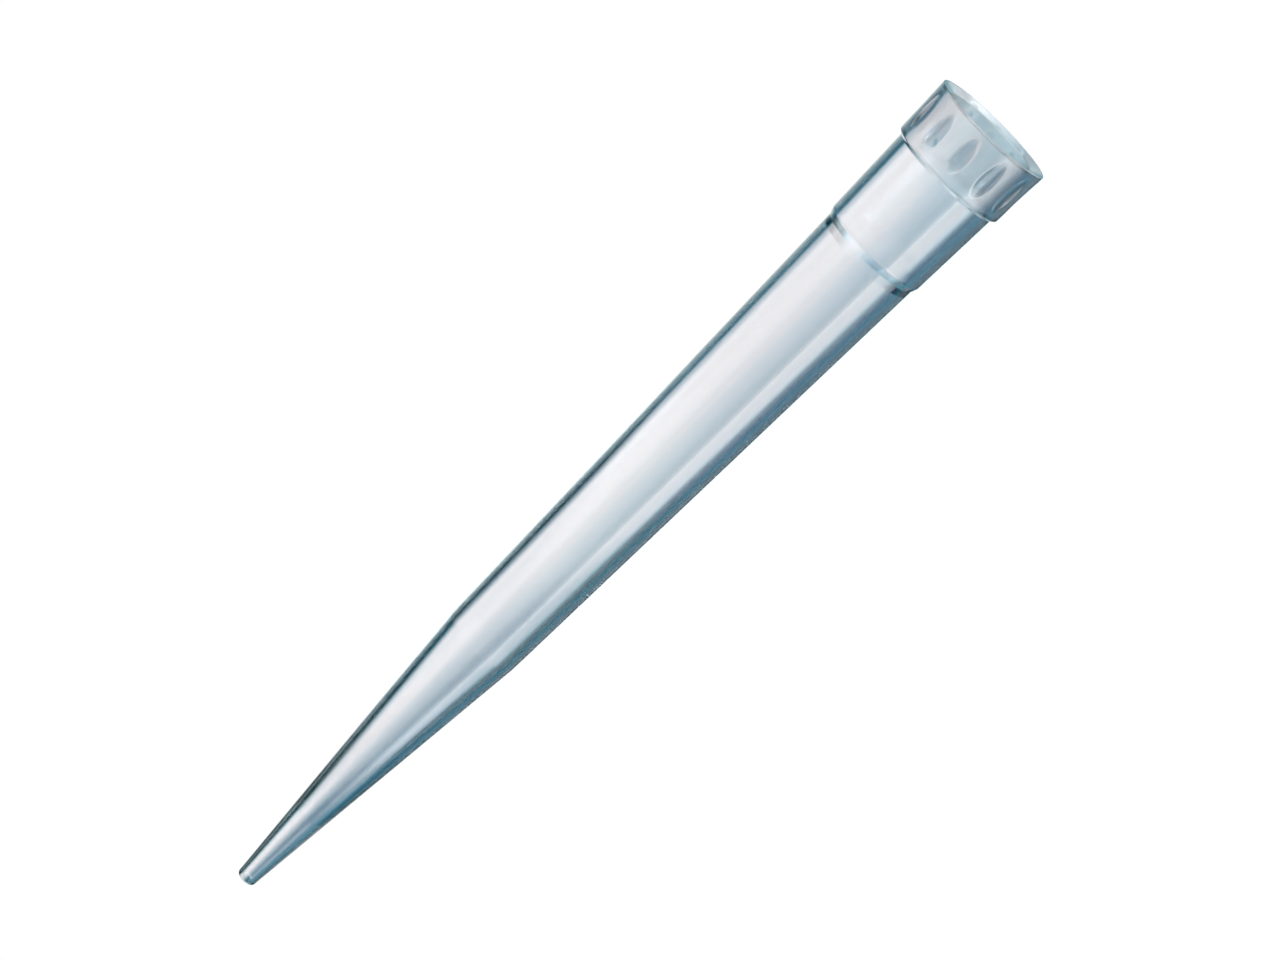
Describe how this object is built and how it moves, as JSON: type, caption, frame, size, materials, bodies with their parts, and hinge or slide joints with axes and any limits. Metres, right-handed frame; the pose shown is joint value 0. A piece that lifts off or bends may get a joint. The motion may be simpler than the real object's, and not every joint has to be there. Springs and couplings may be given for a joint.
{
  "type": "pipette tip",
  "caption": "Clear moulded pipette tip: a slender hollow taper with a fluted collar at its mouth, a small step below it and a steeper nozzle ending in a fine orifice.",
  "frame": {"origin": "on the tip's axis, in the middle of the seal land that the pipette's nose grips, 1.9 mm below the rim", "axes": "+Z along the tip's axis, out of its mouth, which is up as the tip hangs on a pipette or in a rack, with its nozzle 68.8 mm down; one of the 12 flutes faces +X and one +Y"},
  "size_m": [0.0082, 0.0082, 0.0707],
  "materials": {
    "clear_plastic": "clear polypropylene with a faint blue-green tint, gloss moulded"
  },
  "bodies": {
    "root": {"pipette_tip": "clear_plastic"}
  },
  "joints": []
}
